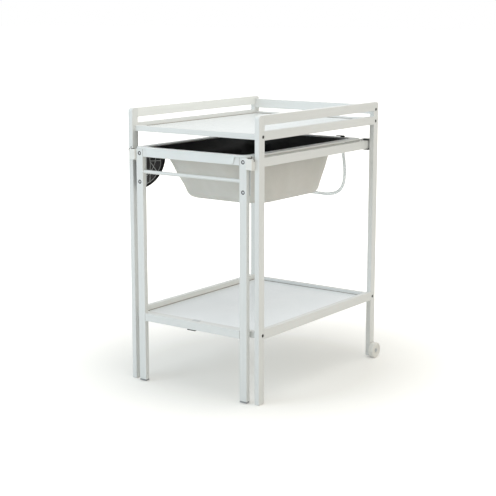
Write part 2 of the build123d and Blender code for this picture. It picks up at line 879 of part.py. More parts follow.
flange_low = leg_foot - fork_flange
with BuildPart() as roller_forks:
    for _, side in sides:
        block(
            (side * (leg_inner + fork_edge), side * (leg_outer - fork_edge)),
            (leg_front + fork_edge, leg_back - fork_edge),
            (flange_low, leg_foot),
        )
        block(
            (side * (leg_centre - fork_width / 2), side * (leg_centre + fork_width / 2)),
            (leg_middle - fork_deep / 2, leg_middle + fork_deep / 2),
            (flange_low, leg_foot + fork_tall),
        )
        slot_half = roller_width / 2 + fork_play
        block(
            (side * leg_centre - slot_half, side * leg_centre + slot_half),
            (leg_middle - roller_radius - fork_play, leg_middle + roller_radius + fork_play),
            (flange_low - overrun, roller_radius + roller_radius + fork_play),
            Mode.SUBTRACT,
        )
        round_x(leg_middle, roller_radius, (side * (leg_inner - overrun), side * (leg_outer + overrun)),
                roller_pin_radius, Mode.SUBTRACT)
        round_x(leg_middle, fork_pin_level, (side * (leg_inner - overrun), side * (leg_outer + overrun)),
                fork_pin_radius, Mode.SUBTRACT)
write(roller_forks, "roller_forks")

with BuildPart() as roller_pins:
    for _, side in sides:
        pin_range = (side * (leg_inner + fork_edge), side * (leg_outer - fork_edge))
        round_x(leg_middle, roller_radius, pin_range, roller_pin_radius)
        pin_start = leg_inner + fork_pin_inset
        pin_range = (side * pin_start, side * (pin_start + fork_pin_long))
        round_x(leg_middle, fork_pin_level, pin_range, fork_pin_radius)
write(roller_pins, "roller_pins")

for side_name, side in sides:
    with BuildPart() as roller:
        x_middle = side * leg_centre
        roller_range = (x_middle - roller_width / 2, x_middle + roller_width / 2)
        round_x(leg_middle, roller_radius, roller_range, roller_radius)
        fillet(roller.edges(), roller_rounding)
        round_x(leg_middle, roller_radius, (x_middle - roller_width, x_middle + roller_width),
                roller_pin_radius + running_gap, Mode.SUBTRACT)
    write(roller, f"{side_name}_roller")

# Pocket on the inner side of the left rail, with a tab held by two studs

def quarter(x, grow):
    """Quarter of an ellipse below and behind the front top corner of the pocket."""
    with BuildSketch(Plane.YZ.offset(x)) as profile:
        with Locations((pocket_front, pocket_top)):
            Ellipse(pocket_long + grow, pocket_tall + grow)
            Rectangle(
                pocket_long + pocket_wall,
                pocket_tall + pocket_wall,
                align=(Align.MIN, Align.MAX),
                mode=Mode.INTERSECT,
            )
    return profile.sketch


pocket_inner = -rail_inner + pocket_thick
with BuildPart() as side_pocket:
    extrude(quarter(-rail_inner, 0), amount=pocket_thick)
    hollow = quarter(-rail_inner + pocket_wall, -pocket_hem - pocket_hem)
    hollow_thick = pocket_thick - pocket_wall - pocket_wall
    with Locations((0, pocket_hem, 0)):
        add(extrude(hollow, amount=hollow_thick, mode=Mode.PRIVATE), mode=Mode.SUBTRACT)
    block(
        (-rail_inner, -rail_inner + pocket_tab_thick),
        (tab_front, tab_front + pocket_tab_long),
        (pocket_top - pocket_hem, rail_low + pocket_tab_tall),
    )
    for y in studs_at:
        round_x(y, stud_level, (-rail_inner - overrun, pocket_inner), stud_shank, Mode.SUBTRACT)
write(side_pocket, "side_pocket")

with BuildPart() as pocket_studs:
    for y in studs_at:
        tab_face = rail_inner - pocket_tab_thick
        round_x(y, stud_level, (-tab_face, -tab_face + stud_tall), stud_radius)
        round_x(y, stud_level, (-tab_face, -tab_face - stud_long), stud_shank)
write(pocket_studs, "pocket_studs")

# Tub: a shell with a broad rim, and a liner inside it that ends under the rim

def ring(inset, side, ahead, behind, corner):
    """Outline of the tub at one level, drawn in by an inset."""
    low_y = mouth_front + ahead + inset
    high_y = mouth_rear - behind - inset
    with Locations((0, (low_y + high_y) / 2)):
        RectangleRounded(2 * (mouth_half - side - inset), high_y - low_y, corner - inset)


def tub_body(inset, floor_rise):
    """Loft through the sections of the tub, drawn in by an inset and cut above its floor."""
    with BuildPart() as body:
        for drop, side, ahead, behind, corner in tub_sections:
            with BuildSketch(Plane.XY.offset(rim_low - drop + (floor_rise if drop == floor[0] else 0))):
                ring(inset, side, ahead, behind, corner)
        loft(ruled=True)
    return body.part


drain_y = mouth_rear - drain_inset
collar_x = rim_half - collar_side_inset
collar_y = rim_rear - collar_inset
shell_floor = rim_low - floor[0]
liner_floor = shell_floor + tub_wall
liner_top = liner_floor + liner_wall

with BuildPart() as tub_shell:
    with BuildSketch(Plane.XY.offset(rim_low)):
        with Locations((0, (rim_rear + rim_front) / 2)):
            RectangleRounded(2 * rim_half, rim_rear - rim_front, rim_corner)
    extrude(amount=rim_thick)
    fillet(tub_shell.edges().group_by(Axis.Z)[-1], rim_round)
    with BuildSketch(Plane.XZ.offset(-rim_front)) as skirt_profile:
        with Locations((0, rim_low - skirt_tall)):
            Rectangle(2 * (leg_inner - skirt_side_gap), skirt_tall + overrun, align=(Align.CENTER, Align.MIN))
        fillet(skirt_profile.vertices().group_by(Axis.Y)[0], skirt_corner)
    extrude(amount=-skirt_thick)
    add(tub_body(0, 0))
    with BuildSketch(Plane.XY.offset(rim_low)):
        ring(tub_wall, *mouth[1:])
    extrude(amount=rim_thick + overrun, mode=Mode.SUBTRACT)
    add(tub_body(tub_wall, tub_wall), mode=Mode.SUBTRACT)
    round_z(drain_x, drain_y, (shell_floor - overrun, liner_top), drain_neck_radius, Mode.SUBTRACT)
    round_z(collar_x, collar_y, (rim_low - overrun, rim_top + overrun), collar_radius, Mode.SUBTRACT)
write(tub_shell, "tub_shell")

liner_outside = tub_wall + liner_gap
liner_inside = liner_outside + liner_wall
with BuildPart() as tub_liner:
    add(tub_body(liner_outside, tub_wall))
    add(tub_body(liner_inside, tub_wall + liner_wall), mode=Mode.SUBTRACT)
    round_z(drain_x, drain_y, (shell_floor - overrun, liner_top + overrun), drain_neck_radius, Mode.SUBTRACT)
write(tub_liner, "tub_liner")

# Drain, hose, and the collar and plug in the rim

outlet_level = shell_floor - outlet_drop
outlet_end = drain_y + outlet_long
with BuildPart() as drain_fitting:
    round_z(drain_x, drain_y, (shell_floor - drain_body_tall, shell_floor), drain_body_radius)
    round_z(drain_x, drain_y, (shell_floor, liner_top), drain_neck_radius)
    round_z(drain_x, drain_y, (liner_top, liner_top + drain_flange_thick), drain_flange_radius)
    round_y(drain_x, outlet_level, (drain_y, outlet_end), outlet_radius)
    round_z(drain_x, drain_y, (outlet_level - drain_sump, liner_top + drain_flange_thick + overrun),
            drain_bore_radius, Mode.SUBTRACT)
    round_y(drain_x, outlet_level, (drain_y, outlet_end + overrun), outlet_bore_radius, Mode.SUBTRACT)
write(drain_fitting, "drain_fitting")

collar_low = rim_top - collar_drop
hose_route = [
    (drain_x, outlet_end, outlet_level),
    (drain_x, outlet_end + hose_first_run, outlet_level),
    *[(drain_x + x, drain_y + y, shell_floor + z) for x, y, z in hose_bends],
    (collar_x, collar_y, collar_low - hose_last_run),
    (collar_x, collar_y, collar_low),
]
run_share = 0.45
runs = [Vector(*b) - Vector(*a) for a, b in zip(hose_route, hose_route[1:])]
hose_radii = []
for before, after in zip(runs, runs[1:]):
    half_turn = radians(before.get_angle(after)) / 2
    hose_radii.append(run_share * min(before.length, after.length) / tan(half_turn))
print("hose radii", [round(radius) for radius in hose_radii])

with BuildPart() as drain_hose:
    with BuildLine() as hose_line:
        FilletPolyline(*hose_route, radius=hose_radii)
    with BuildSketch(Plane(origin=hose_route[0], z_dir=(0, 1, 0))):
        Circle(hose_radius)
    sweep(path=hose_line.wires()[0])
hose_length = hose_line.wires()[0].length
print("hose length", round(hose_length), "volume", round(drain_hose.part.volume),
      "section by length", round(pi * hose_radius * hose_radius * hose_length))
write(drain_hose, "drain_hose")

collar_top = rim_top + collar_flange_tall
with BuildPart() as hose_collar:
    round_z(collar_x, collar_y, (collar_low, rim_top), collar_radius)
    round_z(collar_x, collar_y, (rim_top, collar_top), collar_flange_radius)
write(hose_collar, "hose_collar")

with BuildPart() as hose_plug:
    round_z(collar_x, collar_y, (collar_top, collar_top + plug_tall), plug_radius)
    tab_low = collar_top + plug_tall
    block(
        (collar_x + plug_tab_shift - plug_tab_long / 2, collar_x + plug_tab_shift + plug_tab_long / 2),
        (collar_y - plug_tab_wide / 2, collar_y + plug_tab_wide / 2),
        (tab_low, tab_low + plug_tab_tall),
    )
    fillet(hose_plug.edges().group_by(Axis.Z)[-1], plug_round)
write(hose_plug, "hose_plug")
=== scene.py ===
import math

import bmesh
import bpy
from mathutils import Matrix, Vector


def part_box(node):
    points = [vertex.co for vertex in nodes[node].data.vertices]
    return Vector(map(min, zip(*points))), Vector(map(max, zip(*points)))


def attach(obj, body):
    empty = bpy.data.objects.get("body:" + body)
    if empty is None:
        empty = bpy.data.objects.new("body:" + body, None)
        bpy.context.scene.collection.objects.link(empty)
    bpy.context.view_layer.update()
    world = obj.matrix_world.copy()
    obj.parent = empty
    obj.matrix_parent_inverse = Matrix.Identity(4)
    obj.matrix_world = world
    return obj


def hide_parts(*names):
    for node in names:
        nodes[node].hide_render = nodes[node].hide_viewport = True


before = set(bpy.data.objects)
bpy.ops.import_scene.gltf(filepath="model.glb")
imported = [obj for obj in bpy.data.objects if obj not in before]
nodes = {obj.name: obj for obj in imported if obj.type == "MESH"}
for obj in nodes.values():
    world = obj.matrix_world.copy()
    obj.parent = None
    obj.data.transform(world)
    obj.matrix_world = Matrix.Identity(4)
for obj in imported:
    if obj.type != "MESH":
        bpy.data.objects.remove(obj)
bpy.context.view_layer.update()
mm = 0.001


# Camera, at the photograph's place
cameraSettings = {
    "place": (2.6523, -3.7040, 1.3413), "turn": (79.03, 0, 36.01), "lens": 90.37, "sensor": 36,
    "farClip": 200,
}

camera = bpy.data.objects.new("camera", bpy.data.cameras.new("camera"))
bpy.context.scene.collection.objects.link(camera)
camera.location = cameraSettings["place"]
camera.rotation_euler = [math.radians(angle) for angle in cameraSettings["turn"]]
camera.data.lens = cameraSettings["lens"]
camera.data.sensor_width = cameraSettings["sensor"]
camera.data.clip_end = cameraSettings["farClip"]
bpy.context.scene.camera = camera
print("stage: camera")


# Colour and material helpers. A colour's sRGB code is turned into linear light
def hexColour(code):
    parts = [int(code[i:i + 2], 16) / 255 for i in (1, 3, 5)]
    return [p / 12.92 if p <= 0.04045 else ((p + 0.055) / 1.055) ** 2.4 for p in parts] + [1]


def addNode(material, kind, settings=None, links=None):
    node = material.node_tree.nodes.new(kind)
    for name, value in (settings or {}).items():
        if name in node.inputs:
            node.inputs[name].default_value = value
        else:
            setattr(node, name, value)
    for name, source in (links or {}).items():
        material.node_tree.links.new(source, node.inputs[name])
    return node


def newMaterial(name):
    material = bpy.data.materials.new(name)
    material.use_nodes = True
    material.node_tree.nodes.clear()
    return material


def finishMaterial(material, settings, links):
    shader = addNode(material, "ShaderNodeBsdfPrincipled", settings, links)
    addNode(material, "ShaderNodeOutputMaterial", links={"Surface": shader.outputs["BSDF"]})
    return material


def tintMix(material, factor, first, second):
    # The mix node has sockets of one name for each kind of value: 6, 7 and the output 2 are the colours'
    mix = addNode(material, "ShaderNodeMix", {"data_type": "RGBA"}, {0: factor})
    mix.inputs[6].default_value = hexColour(first)
    mix.inputs[7].default_value = hexColour(second)
    return mix.outputs[2]


# The values of a noise between which tone and sheen run from one end to the other
noiseSpan = {"From Min": 0.3, "From Max": 0.7}


# One recipe for moulded, painted and laminated surfaces: two noises at real sizes, a broad one
# for the tone, and a fine one for the sheen and for the relief that breaks up the highlights
def surfaceMaterial(name, look):
    material = newMaterial(name)
    place = addNode(material, "ShaderNodeTexCoord").outputs["Object"]
    stretch = addNode(material, "ShaderNodeMapping", {"Scale": look.get("stretch", (1, 1, 1))},
                      {"Vector": place})
    broad = addNode(material, "ShaderNodeTexNoise", {
        "Scale": 1 / look["toneSize"], "Detail": 4, "Roughness": 0.6,
    }, {"Vector": stretch.outputs["Vector"]})
    fine = addNode(material, "ShaderNodeTexNoise", {"Scale": 1 / look["reliefSize"], "Detail": 3},
                   {"Vector": stretch.outputs["Vector"]})
    tone = addNode(material, "ShaderNodeMapRange", noiseSpan, {"Value": broad.outputs["Fac"]})
    sheen = addNode(material, "ShaderNodeMapRange", {
        **noiseSpan, "To Min": look["roughness"][0], "To Max": look["roughness"][1],
    }, {"Value": fine.outputs["Fac"]})
    relief = addNode(material, "ShaderNodeBump", {
        "Strength": look["relief"], "Distance": look["reliefDeep"],
    }, {"Height": fine.outputs["Fac"]})
    return finishMaterial(material, look.get("shader", {}), {
        "Base Color": tintMix(material, tone.outputs["Result"], look["colour"], look["shade"]),
        "Roughness": sheen.outputs["Result"],
        "Normal": relief.outputs["Normal"],
    })


# Sprayed lacquer on beech: an even white with a faint long grain and a soft, slightly wavy sheen
def lacquer(axis, name="sprayed_lacquer", colour="#E8E9E6", shade="#E1E2DF"):
    stretch = [1, 1, 1]
    alongGrain = 0.05
    stretch["XYZ".index(axis)] = alongGrain
    return surfaceMaterial(f"{name}_along_{axis.lower()}", {
        "colour": colour, "shade": shade, "stretch": stretch, "toneSize": 22 * mm, "reliefSize": 2.5 * mm,
        "roughness": (0.34, 0.44), "relief": 0.12, "reliefDeep": 0.15 * mm,
        "shader": {"IOR": 1.5, "Coat Weight": 0.15, "Coat Roughness": 0.25},
    })


lacquers = {axis: lacquer(axis) for axis in "XYZ"}

# The same lacquer a shade paler, chosen as painted light: the photo shows the left rails' inner faces
# brighter
paintedLightLacquer = lacquer("Y", "sprayed_lacquer_painted_light", "#F3F4F0", "#EDEEEA")


# Melamine-faced board: flat and even, a little cooler than the lacquer
def melamine(name, colour, shade):
    return surfaceMaterial(name, {
        "colour": colour, "shade": shade, "toneSize": 160 * mm, "reliefSize": 1.5 * mm,
        "roughness": (0.26, 0.34), "relief": 0.08, "reliefDeep": 0.1 * mm, "shader": {"IOR": 1.54},
    })


laminate = melamine("melamine_board", "#E6E9E8", "#E1E5E5")

# The same board a shade paler, chosen as painted light: the photo shows the shelf brighter than it came out
shelfLaminatePaintedLight = melamine("melamine_board_painted_light", "#F6F9FA", "#F1F5F6")

# Injection-moulded polypropylene, smooth on the rim and its skirt: white with a soft sheen
rimPlastic = surfaceMaterial("moulded_polypropylene_smooth", {
    "colour": "#EAECEA", "shade": "#E4E6E3", "toneSize": 120 * mm, "reliefSize": 2.4 * mm,
    "roughness": (0.3, 0.4), "relief": 0.08, "reliefDeep": 0.1 * mm,
    "shader": {"IOR": 1.49, "Subsurface Weight": 0.05, "Subsurface Scale": 0.004},
})

# The same plastic on the body, dull and with a finer grain; its greyer colour is painted shade, for the body
# that lies in shade under the rim
tubPlasticPaintedShade = surfaceMaterial("moulded_polypropylene_grained_painted_shade", {
    "colour": "#DAD8D2", "shade": "#D2D0C9", "toneSize": 90 * mm, "reliefSize": 1.2 * mm,
    "roughness": (0.5, 0.62), "relief": 0.2, "reliefDeep": 0.15 * mm,
    "shader": {"IOR": 1.49, "Subsurface Weight": 0.05, "Subsurface Scale": 0.004},
})

# Moulded polyamide of the caps, guides, glides, wheels and rollers: white and a little dull
whitePlastic = surfaceMaterial("moulded_polyamide_white", {
    "colour": "#F1F0EB", "shade": "#EAE9E3", "toneSize": 20 * mm, "reliefSize": 1.2 * mm,
    "roughness": (0.45, 0.58), "relief": 0.15, "reliefDeep": 0.1 * mm, "shader": {"IOR": 1.53},
})

# Vacuum-formed ABS liner: black and satin
linerPlastic = surfaceMaterial("formed_abs_black", {
    "colour": "#0C0D0E", "shade": "#141517", "toneSize": 60 * mm, "reliefSize": 2 * mm,
    "roughness": (0.42, 0.55), "relief": 0.1, "reliefDeep": 0.1 * mm, "shader": {"IOR": 1.52},
})

# Glass-filled polyamide: black and dull
blackPlastic = surfaceMaterial("moulded_polyamide_black", {
    "colour": "#141415", "shade": "#1E1E20", "toneSize": 12 * mm, "reliefSize": 0.8 * mm,
    "roughness": (0.48, 0.62), "relief": 0.2, "reliefDeep": 0.1 * mm, "shader": {"IOR": 1.53},
})

# The forks of the small rollers: the same polyamide in grey, and dull
greyPlastic = surfaceMaterial("moulded_polyamide_grey", {
    "colour": "#9B9D9D", "shade": "#8C8F90", "toneSize": 12 * mm, "reliefSize": 0.8 * mm,
    "roughness": (0.5, 0.64), "relief": 0.2, "reliefDeep": 0.1 * mm, "shader": {"IOR": 1.53},
})

# Nitrile rubber of the hose's plug and collar: dark brown-grey and dusty
plugRubber = surfaceMaterial("nitrile_rubber", {
    "colour": "#1E1A17", "shade": "#2C2622", "toneSize": 8 * mm, "reliefSize": 0.8 * mm,
    "roughness": (0.6, 0.75), "relief": 0.2, "reliefDeep": 0.1 * mm, "shader": {"IOR": 1.52},
})

# Extruded soft vinyl of the hose: milky, lets some light through
hoseVinyl = surfaceMaterial("extruded_vinyl", {
    "colour": "#F6FAFB", "shade": "#F0F6F7", "toneSize": 25 * mm, "reliefSize": 3 * mm,
    "roughness": (0.22, 0.34), "relief": 0.08, "reliefDeep": 0.2 * mm,
    "shader": {"IOR": 1.3, "Transmission Weight": 0.35},
})

# Zinc-plated steel of the wheel axles and the small fittings: pale grey, fine-grained shine
zincSteel = surfaceMaterial("zinc_plated_steel", {
    "colour": "#CDD0D1", "shade": "#BDC0C2", "toneSize": 4 * mm, "reliefSize": 0.6 * mm,
    "roughness": (0.28, 0.42), "relief": 0.15, "reliefDeep": 0.05 * mm, "shader": {"Metallic": 1},
})

# Burnished steel of the frame bolts and the cap clips: dark brown-grey
darkSteel = surfaceMaterial("burnished_steel", {
    "colour": "#26221F", "shade": "#332E2A", "toneSize": 3 * mm, "reliefSize": 0.6 * mm,
    "roughness": (0.35, 0.5), "relief": 0.15, "reliefDeep": 0.05 * mm, "shader": {"Metallic": 1},
})

# Painted shade for the joint gaps: flat brown
seamShade = surfaceMaterial("painted_joint_shade_brown", {
    "colour": "#75604D", "shade": "#665342", "toneSize": 20 * mm, "reliefSize": 1 * mm,
    "roughness": (0.7, 0.85), "relief": 0.1, "reliefDeep": 0.05 * mm, "shader": {"IOR": 1.45},
})

# Plain beech of the dowels and stop pegs
beech = surfaceMaterial("plain_beech", {
    "colour": "#C9A27A", "shade": "#B58A60", "stretch": (1, 0.08, 1),
    "toneSize": 2 * mm, "reliefSize": 0.8 * mm,
    "roughness": (0.6, 0.7), "relief": 0.2, "reliefDeep": 0.1 * mm, "shader": {"IOR": 1.5},
})


# A wave texture of scale 1 repeats after this many metres
wavePitch = 0.314


# Woven cloth: threads crossing at right angles, drawn wider apart than real ones, so that the
# weave shows
def wovenMaterial(name, look):
    material = newMaterial(name)
    place = addNode(material, "ShaderNodeTexCoord").outputs["Object"]
    waves = []
    for direction in ("Y", "Z"):
        waves.append(addNode(material, "ShaderNodeTexWave", {
            "bands_direction": direction, "Scale": wavePitch / look["threadPitch"],
            "Distortion": 0.6, "Detail": 1,
        }, {"Vector": place}).outputs["Fac"])
    weave = addNode(material, "ShaderNodeMath", {"operation": "MULTIPLY"}, {0: waves[0], 1: waves[1]})
    relief = addNode(material, "ShaderNodeBump", {"Strength": 0.5, "Distance": look["threadDeep"]},
                     {"Height": weave.outputs["Value"]})
    return finishMaterial(material, {
        "Roughness": 0.85, "Sheen Weight": look["sheen"], "Sheen Roughness": 0.4,
    }, {
        "Base Color": tintMix(material, weave.outputs["Value"], look["colour"], look["thread"]),
        "Normal": relief.outputs["Normal"],
    })


pocketCloth = wovenMaterial("woven_polyester_black", {
    "colour": "#1B1A1C", "thread": "#5A5659", "threadPitch": 1.6 * mm, "threadDeep": 0.4 * mm, "sheen": 0.1,
})
bindingTape = wovenMaterial("woven_binding_tape", {
    "colour": "#0B0B0D", "thread": "#202024", "threadPitch": 1.2 * mm, "threadDeep": 0.3 * mm, "sheen": 0.2,
})
pipingCord = wovenMaterial("braided_piping_grey", {
    "colour": "#B9BCBC", "thread": "#DADDDC", "threadPitch": 1.2 * mm, "threadDeep": 0.3 * mm, "sheen": 0.2,
})
print("stage: materials")


# The CAD solids that stay, with their finish
finishes = [
    (lacquers["Z"], ["front_left_post", "front_right_post", "rear_left_post", "rear_right_post", "left_leg",
                     "right_leg"]),
    (lacquers["Y"], ["right_guard_rail", "left_top_rail", "right_top_rail", "right_shelf_rail",
                     "left_side_rail", "right_side_rail"]),
    # The two left rails take the paler lacquer, which is painted light
    (paintedLightLacquer, ["left_guard_rail", "left_shelf_rail"]),
    (lacquers["X"], ["rear_guard_rail", "front_apron", "rear_top_rail", "front_shelf_rail",
                     "rear_shelf_rail", "front_rail", "rear_cross_rail", "towel_rod", "leg_stretcher"]),
    (laminate, ["changing_panel"]),
    # The shelf takes the paler board, which is painted light
    (shelfLaminatePaintedLight, ["shelf_panel"]),
    (whitePlastic, ["rail_guides", "rail_end_caps", "post_glides", "left_wheel", "right_wheel",
                    "left_roller", "right_roller"]),
    (blackPlastic, ["rear_rests", "catch_clip", "drain_fitting"]),
    (greyPlastic, ["roller_forks"]),
    (plugRubber, ["hose_plug", "hose_collar"]),
    (zincSteel, ["barrel_nuts", "leg_bolts", "leg_nuts", "leg_brackets", "bracket_screws", "guide_screws",
                 "rest_screws", "catch_keeper", "pocket_studs", "roller_pins", "wheel_axles"]),
    (darkSteel, ["frame_bolts"]),
    (beech, ["frame_dowels", "carriage_dowels", "stop_pegs"]),
]
for finish, names in finishes:
    for name in names:
        nodes[name].data.materials.clear()
        nodes[name].data.materials.append(finish)
print("stage: finishes of the solids")


# Mesh helpers. Faces that meet at more than the sharp angle keep a hard edge
meshSettings = {"sharpAngle": math.radians(38), "curveAround": 3, "curveAlong": 8}


def makePiece(name, mesh, finish, body, smooth=True):
    piece = bpy.data.objects.new(name, mesh)
    bpy.context.scene.collection.objects.link(piece)
    mesh.materials.clear()
    mesh.materials.append(finish)
    for face in mesh.polygons:
        face.use_smooth = smooth
    mesh.set_sharp_from_angle(angle=meshSettings["sharpAngle"])
    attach(piece, body)
    return piece


def meshFrom(name, shape):
    bmesh.ops.recalc_face_normals(shape, faces=shape.faces)
    mesh = bpy.data.meshes.new(name)
    shape.to_mesh(mesh)
    shape.free()
    return mesh


def joinLoops(shape, loops):
    for first, second in zip(loops, loops[1:]):
        for i in range(len(first)):
            following = (i + 1) % len(first)
            shape.faces.new((first[i], first[following], second[following], second[i]))


def turnSteps(start, turn, steps):
    return [math.radians(start + turn * step / steps) for step in range(steps + 1)]


def curveMesh(name, points, radius, cyclic=False):
    curve = bpy.data.curves.new(name + "_line", "CURVE")
    curve.dimensions = "3D"
    curve.bevel_depth = radius
    curve.bevel_resolution = meshSettings["curveAround"]
    curve.resolution_u = meshSettings["curveAlong"]
    curve.use_fill_caps = True
    spline = curve.splines.new("NURBS")
    spline.points.add(len(points) - 1)
    for point, place in zip(spline.points, points):
        point.co = (*place, 1)
    spline.order_u = 3
    spline.use_endpoint_u = not cyclic
    spline.use_cyclic_u = cyclic
    carrier = bpy.data.objects.new(name + "_line", curve)
    mesh = bpy.data.meshes.new_from_object(carrier)
    bpy.data.objects.remove(carrier)
    bpy.data.curves.remove(curve)
    mesh.name = name
    return mesh


# Drain hose: the route's points in metres, the same as in the solids' source
hose = {
    "diameter": 0.012,
    "length": 0.378,
    "around": 6,
    "along": 12,
    "points": [
        (0.070, 0.17725, 0.6503), (0.070, 0.20725, 0.6503), (0.084, 0.24225, 0.6483),
        (0.104, 0.27325, 0.6413), (0.129, 0.29925, 0.6373), (0.156, 0.31325, 0.6443),
        (0.176, 0.31825, 0.6673), (0.184, 0.31925, 0.7063), (0.182, 0.31925, 0.7553),
        (0.172, 0.31925, 0.8083), (0.172, 0.31925, 0.8433),
    ],
}
hoseCurve = bpy.data.curves.new("hose", "CURVE")
hoseCurve.dimensions = "3D"
hoseCurve.bevel_depth = hose["diameter"] / 2
hoseCurve.bevel_resolution = hose["around"]
hoseCurve.resolution_u = hose["along"]
hoseCurve.use_fill_caps = True
hoseSpline = hoseCurve.splines.new("NURBS")
hoseSpline.points.add(len(hose["points"]) - 1)
for point, place in zip(hoseSpline.points, hose["points"]):
    point.co = (*place, 1)
hoseSpline.order_u = 3
hoseSpline.use_endpoint_u = True
hosePiece = bpy.data.objects.new("hose", hoseCurve)
bpy.context.scene.collection.objects.link(hosePiece)
hoseCurve.materials.append(hoseVinyl)
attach(hosePiece, "tub")
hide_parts("drain_hose")
print("stage: hose")


# Tub: rings of a rounded rectangle, from the rim to the floor. Each row is the height, the half
# width, the reach in front of and behind the middle, and the corner radius, in millimetres.
# rimFoot has the rise and the inset of the rim's lower edge, rimBand and mouthBand place the
# flat rows on its top, and floorReach is the height over which the inner floor's lift fades out
tub = {
    "middle": 2.25,
    "rimLow": 851.3,
    "rimTop": 856.3,
    "walls": [
        (851.3, 219, 377.3, 308, 27), (808.3, 199, 334.3, 261, 109), (756, 193.6, 297, 235, 105),
        (700.3, 187, 254.3, 206, 98), (686, 183.2, 247, 201.5, 94), (675.5, 178.5, 240, 196.5, 89),
        (668.5, 171.5, 231.5, 189.5, 82), (665.2, 163.5, 222.5, 181.5, 75), (664.3, 154, 213, 172, 67),
    ],
    "shell": 3,
    "linerGap": 0.4,
    "liner": 2,
    "rim": (250, 400.3, 332, 30),
    "rimFoot": ((0, 0.8), (0.3, 0.2), (0.8, 0)),
    "rimRound": 1.8,
    "rimBand": 12,
    "mouthBand": 6,
    "lipRound": 3,
    "floorReach": 40,
    "margin": 0.1,
    "cornerSteps": 14,
    "sideSteps": 10,
    "wallSteps": 4,
    "roundSteps": 5,
    "beadSteps": 8,
}


def roundedRing(height, half, ahead, behind, corner):
    middle = tub["middle"]
    centres = [
        (half - corner, middle + behind - corner, 0), (-half + corner, middle + behind - corner, 90),
        (-half + corner, middle - ahead + corner, 180), (half - corner, middle - ahead + corner, 270),
    ]
    arcs = []
    for x, y, start in centres:
        arcs.append([Vector((x + corner * math.cos(angle), y + corner * math.sin(angle), height)) * mm
                     for angle in turnSteps(start, 90, tub["cornerSteps"])])
    ring = []
    for index, arc in enumerate(arcs):
        ring += arc
        following = arcs[(index + 1) % 4][0]
        ring += [arc[-1].lerp(following, step / tub["sideSteps"]) for step in range(1, tub["sideSteps"])]
    return ring


def smoothRows(rows, steps):
    # Monotone cubic through the rows, so that the wall flows without bulges between them
    columns = range(len(rows[0]))
    travel = [0]
    for first, second in zip(rows, rows[1:]):
        travel.append(travel[-1] + math.dist((first[0], first[2]), (second[0], second[2])))
    slopes = [[(b[k] - a[k]) / (t2 - t1) for k in columns]
              for a, b, t1, t2 in zip(rows, rows[1:], travel, travel[1:])]
    tangents = [slopes[0]]
    for before, after in zip(slopes, slopes[1:]):
        tangents.append([0 if p * q <= 0 else 2 * p * q / (p + q) for p, q in zip(before, after)])
    tangents.append(slopes[-1])
    result = []
    for i in range(len(rows) - 1):
        width = travel[i + 1] - travel[i]
        for step in range(steps):
            t = step / steps
            h00, h10 = 2 * t**3 - 3 * t**2 + 1, t**3 - 2 * t**2 + t
            h01, h11 = -2 * t**3 + 3 * t**2, t**3 - t**2
            result.append([h00 * rows[i][k] + h10 * width * tangents[i][k] + h01 * rows[i + 1][k]
                           + h11 * width * tangents[i + 1][k] for k in columns])
    result.append(list(rows[-1]))
    return result


def insetRows(inset, rise):
    floorLevel = tub["walls"][-1][0]
    rows = []
    for height, half, ahead, behind, corner in tub["walls"]:
        lift = rise * max(0, 1 - (height - floorLevel) / tub["floorReach"])
        rows.append((height + lift, half - inset, ahead - inset, behind - inset, corner - inset))
    return smoothRows(rows, tub["wallSteps"])


def stitchRings(shape, rings):
    loops = [[shape.verts.new(point) for point in ring] for ring in rings]
    joinLoops(shape, loops)
    shape.faces.new(loops[0])
    shape.faces.new(loops[-1])


rimHalf, rimAhead, rimBehind, rimCorner = tub["rim"]


def rimRow(height, inset):
    return (height, rimHalf - inset, rimAhead - inset, rimBehind - inset, rimCorner - inset)


def mouthRow(height, inset):
    row = tub["walls"][0]
    return (height, row[1] - inset, row[2] - inset, row[3] - inset, row[4] - inset)


edge, lip = tub["rimRound"], tub["lipRound"]
low, top = tub["rimLow"], tub["rimTop"]
quarter = turnSteps(0, 90, tub["roundSteps"])
shellRows = insetRows(0, 0)[::-1]
shellRows += [rimRow(low + rise, inset) for rise, inset in tub["rimFoot"]]
shellRows += [rimRow(top - edge + edge * math.sin(angle), edge - edge * math.cos(angle))
              for angle in quarter]
shellRows += [rimRow(top, tub["rimBand"]), mouthRow(top, -tub["mouthBand"])]
shellRows.append(mouthRow(top, tub["shell"] - lip))
shellRows += [mouthRow(top - lip + lip * math.cos(angle), tub["shell"] - lip + lip * math.sin(angle))
              for angle in quarter[1:]]
shellRows += insetRows(tub["shell"], tub["shell"])
shape = bmesh.new()
stitchRings(shape, [roundedRing(*row) for row in shellRows])

# The rim's front skirt, with an ogee at each end
skirt = {
    "half": 191, "tall": 27, "thick": 3, "bottomRound": 16, "topRound": 9, "steps": 8, "bevel": 0.7,
}


def skirtArc(x, z, radius, start, turn):
    return [(x + radius * math.cos(angle), z + radius * math.sin(angle))
            for angle in turnSteps(start, turn, skirt["steps"])]


topRound, bottomRound = skirt["topRound"], skirt["bottomRound"]
rightEnd = skirtArc(skirt["half"] + topRound, low - topRound, topRound, 90, 90)
rightEnd += skirtArc(skirt["half"] - bottomRound, low - skirt["tall"] + bottomRound, bottomRound, 0, -90)
outline = rightEnd + [(-x, z) for x, z in reversed(rightEnd)]
frontFace = tub["middle"] - rimAhead
skirtShape = bmesh.new()
face = skirtShape.faces.new([skirtShape.verts.new(Vector((x, frontFace, z)) * mm) for x, z in outline])
grown = bmesh.ops.extrude_face_region(skirtShape, geom=[face])
bmesh.ops.translate(skirtShape, verts=[v for v in grown["geom"] if isinstance(v, bmesh.types.BMVert)],
                    vec=(0, skirt["thick"] * mm, 0))
bmesh.ops.recalc_face_normals(skirtShape, faces=skirtShape.faces)
outlineEdges = [e for e in skirtShape.edges if abs(e.verts[0].co.y - e.verts[1].co.y) < tub["margin"] * mm]
bmesh.ops.bevel(skirtShape, geom=outlineEdges, offset=skirt["bevel"] * mm, segments=2, affect="EDGES")
